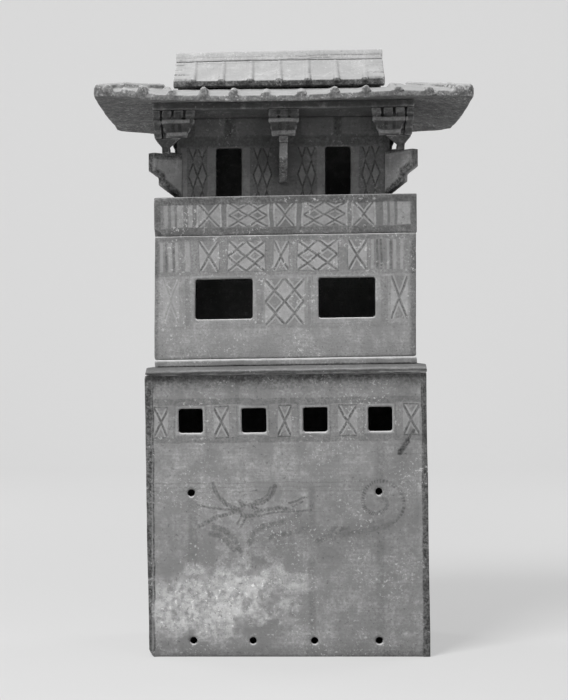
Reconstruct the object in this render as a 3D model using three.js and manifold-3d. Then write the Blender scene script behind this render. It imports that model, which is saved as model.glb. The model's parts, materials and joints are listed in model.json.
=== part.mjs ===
// A pottery watchtower: a slab-built, unglazed earthenware model of a three-storey tower.
// Each storey and each roof was fired by itself, and they are stacked dry, so that each lifts off.
// Millimetres, +Z up. The origin is the middle of the footprint, on the ground. The front faces -Y.
import * as THREE from "three";
import { mergeVertices } from "three/addons/utils/BufferGeometryUtils.js";
import { ConvexGeometry } from "three/addons/geometries/ConvexGeometry.js";
import Module from "manifold-3d";

const wasm = await Module();
wasm.setup();

// Clearance of a luted joint between two slabs, and of a dry bed between two stacked sections.
const JOINT = 0.3;
const BED = 0.4;

// Lower storey: the tall box.
const LOWER_WIDTH = 420;
const LOWER_DEPTH = 250;
const LOWER_HEIGHT = 425;
const LOWER_WALL = 11;
const LOWER_FLOOR = 12;
const FACE_RECESS = 1.2; // the front and back slabs sit this far behind the side slabs' edges
const SQUARE_WINDOW = 36.5;
const SQUARE_WINDOW_X = [-144, -50, 42, 140];
const SQUARE_WINDOW_Z = 355.5;
const VENT_RADIUS = 5.6;
const UPPER_VENT_X = [-146, 136];
const UPPER_VENT_Z = 247;
const LOWER_VENT_X = [-145.5, -56, 36, 133];
const LOWER_VENT_Z = 24;

// Top slab of the lower storey. Its front and back edges droop into a lip, and a hatch is cut through it.
const CORNICE_HEIGHT = 12;
const CORNICE_OVERHANG = 8;
const CORNICE_DROOP = 6.5;
const CORNICE_LIP = 3;
const CORNICE_SEAT = 26; // how far it reaches inside the storey that stands on it

// Middle storey.
const SETBACK = 13; // how far each face stands inside the storey below
const MIDDLE_WALL = 10;
const MIDDLE_HEIGHT = 182.4;
const PLINTH_HEIGHT = 15;
const PLINTH_PROUD = 3;
const PLINTH_CHAMFER = 1.5;
const WIDE_WINDOW_WIDTH = 86;
const WIDE_WINDOW_HEIGHT = 61;
const WIDE_WINDOW_X = [-92.7, 92.7];
const WIDE_WINDOW_SILL = 55.6; // above the plinth

// Balcony.
const PARAPET_PROUD = 1;
const PARAPET_HEIGHT = 58.5;
const PARAPET_WALL = 9;
const BALCONY_FLOOR = 10;
const BALCONY_WIDTH = 36; // from the outside of the parapet to the room

// The room on the balcony.
const ROOM_SHIFT = -3; // the room and the roofs sit a little to the left on the real tower
const ROOM_WALL = 9;
const ROOM_HEIGHT = 170;
const DOOR_WIDTH = 39;
const DOOR_HEIGHT = 121;
const DOOR_SILL = 4;
const DOOR_X = [-83, 83];

// Corner arms. Heights are measured down from an arm's top, and distances out from the room's corner.
const ARM_THICK = 13;
const ARM_TOP = 115.5; // above the balcony floor
const ARM_REACH = 52;
const ARM_NOSE = 27;
const ARM_LOWER_REACH = 32; // only the front arms have this lower tier
const ARM_LOWER_TOP = 37;
const ARM_LOWER_FOOT = 47.5;
const ARM_ROOT = 64;
const ARM_PANEL_DEPTH = 1.2;
const ARM_PANEL_BORDER = 6;

// The foot on each corner arm, which gathers the corner's two bracket sets.
const FOOT_SIDE = 11;
const FOOT_OUT = 23; // along the arm
const FOOT_HEIGHT = 10;
const CAPITAL_HEIGHT = 12.5;

// A bracket set, from its board up to the beam.
const BRACKET_THICK = 12;
const BRACKET_WIDTH = 50;
const BRACKET_HEIGHT = 39.5;
const BRACKET_LEAN = 3; // how far its foot leans towards the corner's foot
const BOARD_WIDTH = 34;
const BOARD_HEIGHT = 6;
const DISC_RADIUS = 7.4; // the rolled ends of the curved arm
const DISC_SINK = 0.6; // into the boards below and above
const DISC_OUT = 12.8;
const DISC_HOLLOW = 3.4;
const HOLLOW_DEPTH = 1.4;
const ARM_BOARD_HEIGHT = 6.4;
const BEARING_WIDTH = 14; // the three small blocks under the beam
const RELIEF = 2; // how far the webs lie behind the faces

// The beam arm and strut at the middle of the front.
const CENTRE_ARM_WIDTH = 12.5;
const CENTRE_ARM_NOSE = 23;
const CENTRE_STRUT_SETBACK = 5;
const CENTRE_STRUT_ROOT = 58;
const STEM_WIDTH = 13.5;
const STEM_HEIGHT = 10;
const CENTRE_BRACKET_WIDTH = 46;
const CENTRE_BOARD_WIDTH = 37;

// Eave frame: the ring of beams that the brackets carry, with its sloping soffit.
const BEAM_PROUD = 1;
const BEAM_HEIGHT = 11;
const BEAM_THICK = 12;
const BEAM_END_RADIUS = 4;
const BEAM_END_PITCH = 121; // rounded cross-beam ends along the front and back
const SOFFIT_THICK = 8;

// Main roof: a low hipped slab with rolls of tile.
const EAVE_OVERHANG = 79; // beyond the middle storey, on every side
const EAVE_THICK = 9.3;
const UNDER_PITCH = 0.135; // rise over run of the underside, from the eave to the beam
const TOP_PITCH = 0.229;
const END_LIFT = 3.5; // lift of the two ends of the roof
const TOP_UPTURN = 3.5; // further lift of the top and of the underside at each corner
const UNDER_UPTURN = 5;
const CORNER_RADIUS = 16;
const SEAT_MARGIN = 8; // the flat on top reaches this far past the ridge roof
const ROLL_SHORT = 12; // how far the rolls stop short of that flat
const ROLL_WIDTH = 13;
const ROLL_HEIGHT = 10; // at the eave
const ROLL_FALL = 7; // how much of that height a full roll loses up to its head
const ROLL_BED = 2; // how far a roll is sunk into its slab
const TILE_PROUD = 2.2; // how far a roll's end stands out of the eave
const FRONT_TILE_PITCH = 46.4;
const SIDE_TILE_PITCH = 44;
const TILE_MARGIN = 16; // least distance from a corner of the roof to the nearest roll
const HIP_WIDTH = 14;
const HIP_HEIGHT = 9.5;

// Ridge roof: the small gabled roof on top.
const RIDGE_ROOF_WIDTH = 324;
const RIDGE_ROOF_DEPTH = 150;
const RIDGE_ROOF_SHIFT = -6.4; // against the main roof, on the real tower
const RIDGE_ROOF_RISE = 51.5;
const RIDGE_EAVE_THICK = 7.6;
const RIDGE_SHELL = 12;
const RIDGE_TILE_PITCH = 44;
const RIDGE_ROLL_WIDTH = 10;
const RIDGE_ROLL_HEIGHT = 4.2; // at the eave
const RIDGE_ROLL_FALL = 2.2;
const VERGE_WIDTH = 25; // the strip at each end with its own broad tiles
const VERGE_TILE_PITCH = 26;
const VERGE_TILE_WIDTH = 23;
const VERGE_TILE_HEIGHT = 3;
const GABLE_INSET = 24;
const GABLE_THICK = 10;
const GABLE_DROP = 4.5; // the gables reach below the eaves and carry the roof
const RIDGE_BEAM_WIDTH = 16;
const RIDGE_BEAM_HEIGHT = 15.5;
const RIDGE_BEAM_GROOVE = 1;

// Sizes and heights that follow from those above.
const MIDDLE_WIDTH = LOWER_WIDTH - 2 * SETBACK;
const MIDDLE_DEPTH = LOWER_DEPTH - 2 * SETBACK;
const PARAPET_LENGTH = MIDDLE_WIDTH + 2 * PARAPET_PROUD;
const PARAPET_DEPTH = MIDDLE_DEPTH + 2 * PARAPET_PROUD;
const ROOM_WIDTH = PARAPET_LENGTH - 2 * BALCONY_WIDTH;
const ROOM_DEPTH = PARAPET_DEPTH - 2 * BALCONY_WIDTH;
const TIER_TOP = BOARD_HEIGHT + 2 * (DISC_RADIUS - DISC_SINK);
const ARM_BOARD_TOP = TIER_TOP + ARM_BOARD_HEIGHT;
const BEAM_OUT = BALCONY_WIDTH - PARAPET_PROUD + BEAM_PROUD; // from the room's face to the beam's
const ROOF_WIDTH = MIDDLE_WIDTH + 2 * EAVE_OVERHANG;
const ROOF_DEPTH = MIDDLE_DEPTH + 2 * EAVE_OVERHANG;
const SEAT_WIDTH = RIDGE_ROOF_WIDTH + 2 * (SEAT_MARGIN - RIDGE_ROOF_SHIFT);
const SEAT_DEPTH = RIDGE_ROOF_DEPTH + 2 * SEAT_MARGIN;

const CORNICE_TOP = LOWER_HEIGHT + CORNICE_HEIGHT;
const MIDDLE_BASE = CORNICE_TOP + BED;
const MIDDLE_TOP = MIDDLE_BASE + PLINTH_HEIGHT + MIDDLE_HEIGHT;
const UPPER_BASE = MIDDLE_TOP + BED;
const BALCONY_TOP = UPPER_BASE + BALCONY_FLOOR;
const ROOM_BASE = BALCONY_TOP + JOINT;
const ROOM_TOP = ROOM_BASE + ROOM_HEIGHT;
const ARM_LEVEL = BALCONY_TOP + ARM_TOP;
const BRACKET_BASE = FOOT_HEIGHT + CAPITAL_HEIGHT + JOINT; // above the arms
const BEAM_BOTTOM = ARM_LEVEL + BRACKET_BASE + BRACKET_HEIGHT + JOINT;
const BEAM_TOP = BEAM_BOTTOM + BEAM_HEIGHT;
const EAVE_BOTTOM = BEAM_TOP + BED - UNDER_PITCH * (EAVE_OVERHANG - BEAM_PROUD);
const SEAT_INSET = Math.min(ROOF_WIDTH - SEAT_WIDTH, ROOF_DEPTH - SEAT_DEPTH) / 2;
const SEAT_TOP = EAVE_BOTTOM + EAVE_THICK + TOP_PITCH * SEAT_INSET;

const clay = (name, hex) =>
  new THREE.MeshStandardMaterial({ name, color: hex, roughness: 0.92, metalness: 0 });
const MATERIALS = {
  slip: clay("painted_slip", 0x8e8d89),
  body: clay("grey_earthenware", 0x6f6e6b),
  dark: clay("shaded_earthenware", 0x55544f),
  tile: clay("dusty_tile", 0xb4b3ae),
};

const tower = new THREE.Group();
tower.name = "pottery_watchtower";

function addPiece(name, geometry, material, parent = tower) {
  const mesh = new THREE.Mesh(geometry, material);
  mesh.name = name;
  parent.add(mesh);
  return mesh;
}

// Turns a closed geometry into a manifold solid.
function solidOf(geometry) {
  const bare = geometry.index ? geometry.toNonIndexed() : geometry.clone();
  bare.deleteAttribute("normal");
  bare.deleteAttribute("uv");
  const merged = mergeVertices(bare, 1e-4);
  return new wasm.Manifold(
    new wasm.Mesh({
      numProp: 3,
      vertProperties: new Float32Array(merged.attributes.position.array),
      triVerts: new Uint32Array(merged.index.array),
    }),
  );
}

// Turns a manifold solid back into a geometry.
function geometryOf(solid) {
  const mesh = solid.getMesh();
  const geometry = new THREE.BufferGeometry();
  geometry.setAttribute("position", new THREE.BufferAttribute(mesh.vertProperties, 3));
  geometry.setIndex(new THREE.BufferAttribute(mesh.triVerts, 1));
  return geometry;
}

function unite(first, others) {
  let solid = solidOf(first);
  for (const other of others) solid = solid.add(solidOf(other));
  return geometryOf(solid);
}

function cutAway(first, others) {
  let solid = solidOf(first);
  for (const other of others) solid = solid.subtract(solidOf(other));
  return geometryOf(solid);
}

// A block that stands on z, centred on x and y.
function block(width, depth, height, x = 0, y = 0, z = 0) {
  return new THREE.BoxGeometry(width, depth, height).translate(x, y, z + height / 2);
}

function outline(points) {
  const shape = new THREE.Shape();
  points.forEach(([x, y], i) => (i ? shape.lineTo(x, y) : shape.moveTo(x, y)));
  shape.closePath();
  return shape;
}

// A section of [y, z] points drawn out along X, centred on x = 0.
function drawnAlongX(section, length) {
  return new THREE.ExtrudeGeometry(outline(section), { depth: length, bevelEnabled: false })
    .rotateX(Math.PI / 2)
    .rotateZ(Math.PI / 2)
    .translate(-length / 2, 0, 0);
}

// A side view of [x, z] points, made as thick as given and centred on y = 0.
function sideProfile(points, thickness) {
  return new THREE.ExtrudeGeometry(outline(points), { depth: thickness, bevelEnabled: false })
    .rotateX(Math.PI / 2)
    .translate(0, thickness / 2, 0);
}

// The convex solid round some level rectangles, each given as [x, y, z, width, depth].
function hullOf(rectangles) {
  const signs = [[-1, -1], [1, -1], [1, 1], [-1, 1]];
  return new ConvexGeometry(rectangles.flatMap(([x, y, z, w, d]) =>
    signs.map(([i, j]) => new THREE.Vector3(x + (i * w) / 2, y + (j * d) / 2, z))));
}

// Evenly pitched places along a length, centred on 0.
function spread(length, pitch) {
  const gaps = Math.floor(length / pitch);
  return Array.from({ length: gaps + 1 }, (_, i) => (i - gaps / 2) * pitch);
}

// Cutters for a window or door, and for a round vent, through a slab that stands behind y = 0.
const CUT_DEPTH = 60;
function opening(x, z, width, height) {
  return block(width, CUT_DEPTH, height, x, 0, z);
}

function vent(x, z) {
  return new THREE.CylinderGeometry(VENT_RADIUS, VENT_RADIUS, CUT_DEPTH, 20).translate(x, 0, z);
}

// A slab that stands in the X-Z plane with its outer face at y = 0 and its thickness behind it.
function standingSlab(width, height, thickness, holes = []) {
  const slab = block(width, thickness, height, 0, thickness / 2);
  return holes.length ? cutAway(slab, holes) : slab;
}

// Four slabs round a box: the side slabs run its full depth, and the front and back ones sit between them.
function fourSlabs(names, size, frontHoles, z, parent = tower) {
  const { width, depth, height, wall, recess = 0 } = size;
  const between = width - 2 * wall - 2 * JOINT;
  const sides = {
    front: [between, wall - recess, depth / 2 - recess, 0],
    right: [depth, wall, width / 2, Math.PI / 2],
    back: [between, wall - recess, depth / 2 - recess, Math.PI],
    left: [depth, wall, width / 2, -Math.PI / 2],
  };
  for (const [side, [length, thickness, out, turn]] of Object.entries(sides)) {
    const holes = side === "front" ? frontHoles : [];
    const slab = addPiece(names(side), standingSlab(length, height, thickness, holes), MATERIALS.slip, parent);
    slab.rotation.z = turn;
    slab.position.set(Math.sin(turn) * out, -Math.cos(turn) * out, z);
  }
}

function lowerStorey() {
  const inner = LOWER_WIDTH - 2 * LOWER_WALL - 2 * JOINT;
  const innerDepth = LOWER_DEPTH - 2 * LOWER_WALL - 2 * JOINT;
  addPiece("lower_floor", block(inner, innerDepth, LOWER_FLOOR), MATERIALS.body);
  const half = SQUARE_WINDOW / 2;
  const holes = [
    ...SQUARE_WINDOW_X.map((x) => opening(x, SQUARE_WINDOW_Z - half, SQUARE_WINDOW, SQUARE_WINDOW)),
    ...UPPER_VENT_X.map((x) => vent(x, UPPER_VENT_Z)),
    ...LOWER_VENT_X.map((x) => vent(x, LOWER_VENT_Z)),
  ];
  const size = {
    width: LOWER_WIDTH,
    depth: LOWER_DEPTH,
    height: LOWER_HEIGHT - JOINT,
    wall: LOWER_WALL,
    recess: FACE_RECESS,
  };
  fourSlabs((side) => `lower_${side}_wall`, size, holes, 0);

  const out = LOWER_DEPTH / 2 + CORNICE_OVERHANG;
  const flat = MIDDLE_DEPTH / 2 + PLINTH_PROUD;
  const edge = [
    [out - CORNICE_LIP, 0],
    [out, CORNICE_LIP / 2],
    [out, CORNICE_HEIGHT - CORNICE_DROOP],
    [flat, CORNICE_HEIGHT],
  ];
  const section = [...edge, ...edge.map(([y, z]) => [-y, z]).reverse()];
  const hatch = block(
    MIDDLE_WIDTH - 2 * CORNICE_SEAT, MIDDLE_DEPTH - 2 * CORNICE_SEAT, 3 * CORNICE_HEIGHT, 0, 0, -CORNICE_HEIGHT);
  const cornice = cutAway(drawnAlongX(section, LOWER_WIDTH), [hatch]);
  addPiece("lower_cornice", cornice, MATERIALS.slip).position.z = LOWER_HEIGHT;
}

function middleStorey() {
  const out = MIDDLE_DEPTH / 2 + PLINTH_PROUD;
  const top = PLINTH_HEIGHT - JOINT;
  const edge = [[out, 0], [out, top - PLINTH_CHAMFER], [out - PLINTH_CHAMFER, top]];
  const section = [...edge, ...edge.map(([y, z]) => [-y, z]).reverse()];
  addPiece("middle_plinth", drawnAlongX(section, MIDDLE_WIDTH), MATERIALS.slip).position.z = MIDDLE_BASE;
  const holes = WIDE_WINDOW_X.map((x) =>
    opening(x, WIDE_WINDOW_SILL, WIDE_WINDOW_WIDTH, WIDE_WINDOW_HEIGHT));
  const size = { width: MIDDLE_WIDTH, depth: MIDDLE_DEPTH, height: MIDDLE_HEIGHT, wall: MIDDLE_WALL };
  fourSlabs((side) => `middle_${side}_wall`, size, holes, MIDDLE_BASE + PLINTH_HEIGHT);
}

function balcony() {
  const inner = PARAPET_LENGTH - 2 * PARAPET_WALL - 2 * JOINT;
  const innerDepth = PARAPET_DEPTH - 2 * PARAPET_WALL - 2 * JOINT;
  addPiece("balcony_floor", block(inner, innerDepth, BALCONY_FLOOR), MATERIALS.body).position.z = UPPER_BASE;
  const size = { width: PARAPET_LENGTH, depth: PARAPET_DEPTH, height: PARAPET_HEIGHT, wall: PARAPET_WALL };
  fourSlabs((side) => `parapet_${side}`, size, [], UPPER_BASE);
}

// Everything that moves over with the room: the room itself, the brackets, the eaves and both roofs.
const upper = new THREE.Group();
upper.position.x = ROOM_SHIFT;
tower.add(upper);

function room() {
  const holes = DOOR_X.map((x) => opening(x, DOOR_SILL, DOOR_WIDTH, DOOR_HEIGHT));
  const size = { width: ROOM_WIDTH, depth: ROOM_DEPTH, height: ROOM_HEIGHT, wall: ROOM_WALL };
  fourSlabs((side) => `room_${side}_wall`, size, holes, ROOM_BASE, upper);
}

// A corner arm: the upper beam, and on the front arms a shorter tier under it. Its root is notched to sit on
// the room's corner.
function cornerArm(tiered) {
  const root = -ARM_THICK / 2;
  const foot = tiered ? ARM_ROOT : ARM_LOWER_TOP;
  const tier = tiered ? [[ARM_LOWER_REACH, -ARM_LOWER_FOOT], [ARM_LOWER_REACH, -ARM_LOWER_TOP]] : [];
  const arm = sideProfile([
    [root, 0],
    [root, -foot],
    [0, -foot],
    ...tier,
    [ARM_REACH, -ARM_NOSE],
    [ARM_REACH, 0],
  ], ARM_THICK);
  const border = ARM_PANEL_BORDER;
  const panel = [
    [border, -border],
    [border, border - ARM_LOWER_TOP],
    [ARM_LOWER_REACH - border, border - ARM_LOWER_TOP],
    [ARM_REACH - border, -ARM_NOSE + border / 2],
    [ARM_REACH - border, -border],
  ];
  const panels = [-1, 1].map((face) =>
    sideProfile(panel, 2 * ARM_PANEL_DEPTH).translate(0, (face * ARM_THICK) / 2, 0));
  const notch = block(4 * ARM_THICK, 4 * ARM_THICK, 4 * ARM_ROOT, 0, 0, -3 * ARM_ROOT)
    .rotateZ(Math.PI / 4)
    .translate(Math.SQRT2 * (JOINT - 2 * ARM_THICK), 0, 0);
  return cutAway(arm, [...panels, notch]);
}

// A bracket set that runs along X: a board, a curved arm with rolled ends, and three bearing blocks. Its
// foot leans by [x, y] against its head.
function bracketSet(width, boardWidth, leanX, leanY) {
  const depth = BRACKET_THICK;
  const at = (z) => [leanX * (1 - z / BRACKET_HEIGHT), leanY * (1 - z / BRACKET_HEIGHT), z];
  const board = hullOf([
    [...at(0), boardWidth - 2, depth - 1],
    [...at(BOARD_HEIGHT), boardWidth, depth],
  ]);
  const web = hullOf([
    [...at(BOARD_HEIGHT - 1), boardWidth - 8, depth - 2 * RELIEF],
    [...at((BOARD_HEIGHT + TIER_TOP) / 2), 2 * DISC_OUT + DISC_RADIUS, depth - 2 * RELIEF],
    [...at(TIER_TOP + 1), width - 3, depth - 2 * RELIEF],
  ]);
  const post = hullOf([[...at(BOARD_HEIGHT - 1), 9, depth - 0.6], [...at(TIER_TOP + 1), 9, depth - 0.6]]);
  const arm = hullOf([
    [...at(TIER_TOP), width - 4, depth],
    [...at(TIER_TOP + 2), width, depth],
    [...at(ARM_BOARD_TOP), width, depth],
  ]);
  const [discX, discY, discZ] = at((BOARD_HEIGHT + TIER_TOP) / 2);
  const discs = [-1, 1].map((side) =>
    new THREE.CylinderGeometry(DISC_RADIUS, DISC_RADIUS, depth - 0.6, 14)
      .translate(discX + side * DISC_OUT, discY, discZ));
  const hollows = [-1, 1].flatMap((side) => [-1, 1].map((face) =>
    new THREE.CylinderGeometry(DISC_HOLLOW, DISC_HOLLOW, 2 * HOLLOW_DEPTH, 10)
      .translate(discX + side * DISC_OUT, discY + (face * depth) / 2, discZ)));
  const bearings = [-1, 0, 1].map((side) => {
    const x = (side * (width - BEARING_WIDTH)) / 2;
    const levels = [
      [ARM_BOARD_TOP - 1, BEARING_WIDTH - 4.5, depth - 4],
      [ARM_BOARD_TOP + 5, BEARING_WIDTH, depth - 0.6],
      [BRACKET_HEIGHT, BEARING_WIDTH, depth - 0.6],
    ];
    return hullOf(levels.map(([z, w, d]) => [at(z)[0] + x, at(z)[1], z, w, d]));
  });
  return cutAway(unite(board, [web, post, arm, ...discs, ...bearings]), hollows);
}

// An arm on each corner of the room carries a foot, and the foot carries two bracket sets, one under each
// of the beams that meet there. The short one holds the very corner.
function cornerSet(name, signX, signY) {
  const corner = new THREE.Group();
  corner.position.set((signX * ROOM_WIDTH) / 2, (signY * ROOM_DEPTH) / 2, ARM_LEVEL);
  upper.add(corner);
  addPiece(`corner_arm_${name}`, cornerArm(signY < 0), MATERIALS.dark, corner)
    .rotation.z = Math.atan2(signY, signX);

  const across = BEAM_OUT - BRACKET_THICK / 2;
  const longX = BEAM_OUT - BRACKET_THICK - JOINT - BRACKET_LEAN - BRACKET_WIDTH / 2;
  const shortY = BEAM_OUT - BRACKET_WIDTH / 2;
  const long = bracketSet(BRACKET_WIDTH, BOARD_WIDTH, signX * BRACKET_LEAN, -signY * BRACKET_LEAN);
  addPiece(`bracket_long_${name}`, long, MATERIALS.dark, corner)
    .position.set(signX * longX, signY * across, BRACKET_BASE);
  const short = bracketSet(BRACKET_WIDTH, BOARD_WIDTH, -signY * BRACKET_LEAN, signX * BRACKET_LEAN)
    .rotateZ(Math.PI / 2);
  addPiece(`bracket_short_${name}`, short, MATERIALS.dark, corner)
    .position.set(signX * across, signY * shortY, BRACKET_BASE);

  const out = FOOT_OUT * Math.SQRT1_2;
  const stem = BRACKET_THICK - 1;
  const underLong = [signX * (longX + BRACKET_LEAN), signY * (across - BRACKET_LEAN)];
  const underShort = [signX * (across - BRACKET_LEAN), signY * (shortY - BRACKET_LEAN)];
  const footBlock = hullOf([
    [signX * out, signY * out, JOINT, FOOT_SIDE, FOOT_SIDE],
    [signX * out, signY * out, FOOT_HEIGHT, FOOT_SIDE, FOOT_SIDE],
  ]);
  const capital = hullOf([
    [signX * out, signY * out, FOOT_HEIGHT - 1, FOOT_SIDE - 1, FOOT_SIDE - 1],
    [...underLong, FOOT_HEIGHT + CAPITAL_HEIGHT, STEM_WIDTH, stem],
    [...underShort, FOOT_HEIGHT + CAPITAL_HEIGHT, stem, STEM_WIDTH],
  ]);
  addPiece(`bracket_foot_${name}`, unite(footBlock, [capital]), MATERIALS.dark, corner);
}

// The beam arm, strut, stem and bracket set at the middle of the front.
function centreSet() {
  const centre = new THREE.Group();
  centre.position.set(0, -ROOM_DEPTH / 2, ARM_LEVEL + BRACKET_BASE - STEM_HEIGHT - JOINT);
  upper.add(centre);
  const strutOut = BEAM_OUT - CENTRE_STRUT_SETBACK;
  const arm = sideProfile([
    [JOINT, 0],
    [JOINT, -CENTRE_STRUT_ROOT],
    [CENTRE_STRUT_SETBACK, -CENTRE_STRUT_ROOT],
    [strutOut, -CENTRE_ARM_NOSE - 3],
    [strutOut, -CENTRE_ARM_NOSE],
    [BEAM_OUT, -CENTRE_ARM_NOSE],
    [BEAM_OUT, 0],
  ], CENTRE_ARM_WIDTH);
  addPiece("centre_arm", arm, MATERIALS.body, centre).rotation.z = -Math.PI / 2;
  const y = BRACKET_THICK / 2 - BEAM_OUT;
  addPiece("centre_stem", block(STEM_WIDTH, BRACKET_THICK - 1, STEM_HEIGHT - JOINT, 0, y, JOINT),
    MATERIALS.dark, centre);
  addPiece("centre_bracket", bracketSet(CENTRE_BRACKET_WIDTH, CENTRE_BOARD_WIDTH, 0, 0), MATERIALS.dark, centre)
    .position.set(0, y, STEM_HEIGHT + JOINT);
}

// A loop of points round a rectangle with rounded corners, in steps along each side. rise(x, y) gives each
// point's height.
function rectangleLoop(halfX, halfY, radius, steps, rise) {
  const turns = 4;
  const loop = [];
  const corners = [[1, -1], [1, 1], [-1, 1], [-1, -1]];
  corners.forEach(([sx, sy], i) => {
    for (let t = 0; t <= turns; t++) {
      const angle = ((i - 1) * Math.PI) / 2 + (t * Math.PI) / (2 * turns);
      loop.push([sx * (halfX - radius) + radius * Math.cos(angle), sy * (halfY - radius) + radius * Math.sin(angle)]);
    }
    const [nx, ny] = corners[(i + 1) % 4];
    const start = loop[loop.length - 1];
    const side = i % 2 ? [nx * (halfX - radius), start[1]] : [start[0], ny * (halfY - radius)];
    for (let s = 1; s < steps; s++) {
      loop.push([start[0] + ((side[0] - start[0]) * s) / steps, start[1] + ((side[1] - start[1]) * s) / steps]);
    }
  });
  return loop.map(([x, y]) => new THREE.Vector3(x, y, rise(x, y)));
}

// Joins equal loops by quads. A ring's last loop joins its first, and an open stack is closed by a fan at
// each end.
function skinOf(loops, ring) {
  const count = loops[0].length;
  const positions = loops.flat().flatMap((p) => [p.x, p.y, p.z]);
  const index = [];
  const bands = ring ? loops.length : loops.length - 1;
  for (let i = 0; i < bands; i++) {
    const low = i * count;
    const high = ((i + 1) % loops.length) * count;
    for (let k = 0; k < count; k++) {
      const next = (k + 1) % count;
      index.push(low + k, low + next, high + next, low + k, high + next, high + k);
    }
  }
  const fan = (loop, first, down) => {
    const hub = loop.reduce((sum, p) => sum.add(p), new THREE.Vector3()).divideScalar(count);
    const centre = positions.length / 3;
    positions.push(hub.x, hub.y, hub.z);
    for (let k = 0; k < count; k++) {
      const next = (k + 1) % count;
      index.push(centre, first + (down ? next : k), first + (down ? k : next));
    }
  };
  if (!ring) {
    fan(loops[0], 0, true);
    fan(loops[loops.length - 1], (loops.length - 1) * count, false);
  }
  const geometry = new THREE.BufferGeometry();
  geometry.setAttribute("position", new THREE.Float32BufferAttribute(positions, 3));
  geometry.setIndex(index);
  return geometry;
}

function eaveFrame() {
  const halfX = ROOM_WIDTH / 2 + BEAM_OUT;
  const halfY = ROOM_DEPTH / 2 + BEAM_OUT;
  const section = [
    [0, BEAM_BOTTOM],
    [0, BEAM_TOP],
    [BEAM_THICK, BEAM_TOP],
    [BEAM_OUT, ROOM_TOP + SOFFIT_THICK],
    [BEAM_OUT + ROOM_WALL, ROOM_TOP + SOFFIT_THICK],
    [BEAM_OUT + ROOM_WALL, ROOM_TOP + JOINT],
    [BEAM_OUT - JOINT, ROOM_TOP + JOINT],
    [BEAM_THICK, BEAM_BOTTOM],
  ];
  const loops = section.map(([inset, z]) => rectangleLoop(halfX - inset, halfY - inset, 0.5, 1, () => z));
  const ends = spread(2 * (halfX - BEAM_THICK), BEAM_END_PITCH);
  const knobs = [-1, 1].flatMap((face) => ends.map((x) =>
    new THREE.CylinderGeometry(BEAM_END_RADIUS, BEAM_END_RADIUS + 0.6, 4, 12)
      .rotateX(face < 0 ? Math.PI : 0)
      .translate(x, face * (halfY - 0.8), BEAM_BOTTOM + BEAM_HEIGHT / 2)));
  addPiece("eave_frame", unite(skinOf(loops, true), knobs), MATERIALS.dark, upper);
}

// A roll of tile between two points of a surface: half an ellipse, upright on that surface, and sunk a
// little into it. A roll that runs level across a slope is given the slope's normal.
function tileRoll(from, to, width, height, normal = new THREE.Vector3(0, 0, 1)) {
  const steps = 8;
  const arc = Array.from({ length: steps + 1 }, (_, i) => {
    const angle = (i * Math.PI) / steps;
    return [(width / 2) * Math.cos(angle), height * Math.sin(angle)];
  });
  const section = outline([...arc, [-width / 2, -ROLL_BED], [width / 2, -ROLL_BED]]);
  const line = to.clone().sub(from);
  const along = line.clone().normalize();
  const side = normal.clone().cross(along).normalize();
  const basis = new THREE.Matrix4().makeBasis(side, along.clone().cross(side), along);
  return new THREE.ExtrudeGeometry(section, { depth: line.length(), bevelEnabled: false })
    .applyMatrix4(basis)
    .translate(from.x, from.y, from.z);
}

function mainRoof() {
  const halfX = ROOF_WIDTH / 2;
  const halfY = ROOF_DEPTH / 2;
  // How far a point of the roof is lifted, for a corner's upturn.
  const lift = (x, y, upturn) => (x / halfX) ** 2 * (END_LIFT + upturn * (y / halfY) ** 2);
  const topLift = (x, y) => lift(x, y, TOP_UPTURN);
  const underLift = (x, y) => lift(x, y, UNDER_UPTURN);
  const level = () => 0;
  const topAt = (inset) => EAVE_BOTTOM + EAVE_THICK + TOP_PITCH * inset;
  const underAt = (inset) => EAVE_BOTTOM + UNDER_PITCH * inset;
  const flatUnder = EAVE_OVERHANG - BEAM_PROUD;
  const levels = [
    [flatUnder, underAt(flatUnder), level],
    [0, underAt(0), underLift],
    [0, topAt(0), topLift],
    [SEAT_INSET / 2, topAt(SEAT_INSET / 2), topLift],
    [SEAT_INSET, topAt(SEAT_INSET), level],
  ];
  const loops = levels.map(([inset, z, rise]) => {
    const radius = Math.max(CORNER_RADIUS * (1 - inset / SEAT_INSET), 0.5);
    return rectangleLoop(halfX - inset, halfY - inset, radius, 8, (x, y) => z + rise(x, y));
  });
  const slab = skinOf(loops, false);

  const length = SEAT_INSET - ROLL_SHORT;
  const rollsUp = (pitch, along, out, place) =>
    spread(2 * (along - TILE_MARGIN), pitch).map((x) => {
      const reach = Math.min(length, along - Math.abs(x));
      const foot = new THREE.Vector3(...place(x, out + TILE_PROUD), topAt(0) + topLift(...place(x, out)));
      const head = new THREE.Vector3(...place(x, out - reach), topAt(reach) - (ROLL_FALL * reach) / length);
      return tileRoll(foot, head, ROLL_WIDTH, ROLL_HEIGHT);
    });
  const rolls = [
    ...rollsUp(FRONT_TILE_PITCH, halfX, halfY, (x, out) => [x, -out]),
    ...rollsUp(FRONT_TILE_PITCH, halfX, halfY, (x, out) => [x, out]),
    ...rollsUp(SIDE_TILE_PITCH, halfY, halfX, (y, out) => [-out, y]),
    ...rollsUp(SIDE_TILE_PITCH, halfY, halfX, (y, out) => [out, y]),
  ];
  for (const sx of [-1, 1]) {
    for (const sy of [-1, 1]) {
      const at = (inset, z) => new THREE.Vector3(sx * (halfX - inset), sy * (halfY - inset), z);
      const foot = at(CORNER_RADIUS * 0.3, topAt(0) + topLift(halfX, halfY));
      rolls.push(tileRoll(foot, at(length, topAt(length)), HIP_WIDTH, HIP_HEIGHT));
    }
  }
  addPiece("main_roof", unite(slab, rolls), MATERIALS.tile, upper);
}

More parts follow.
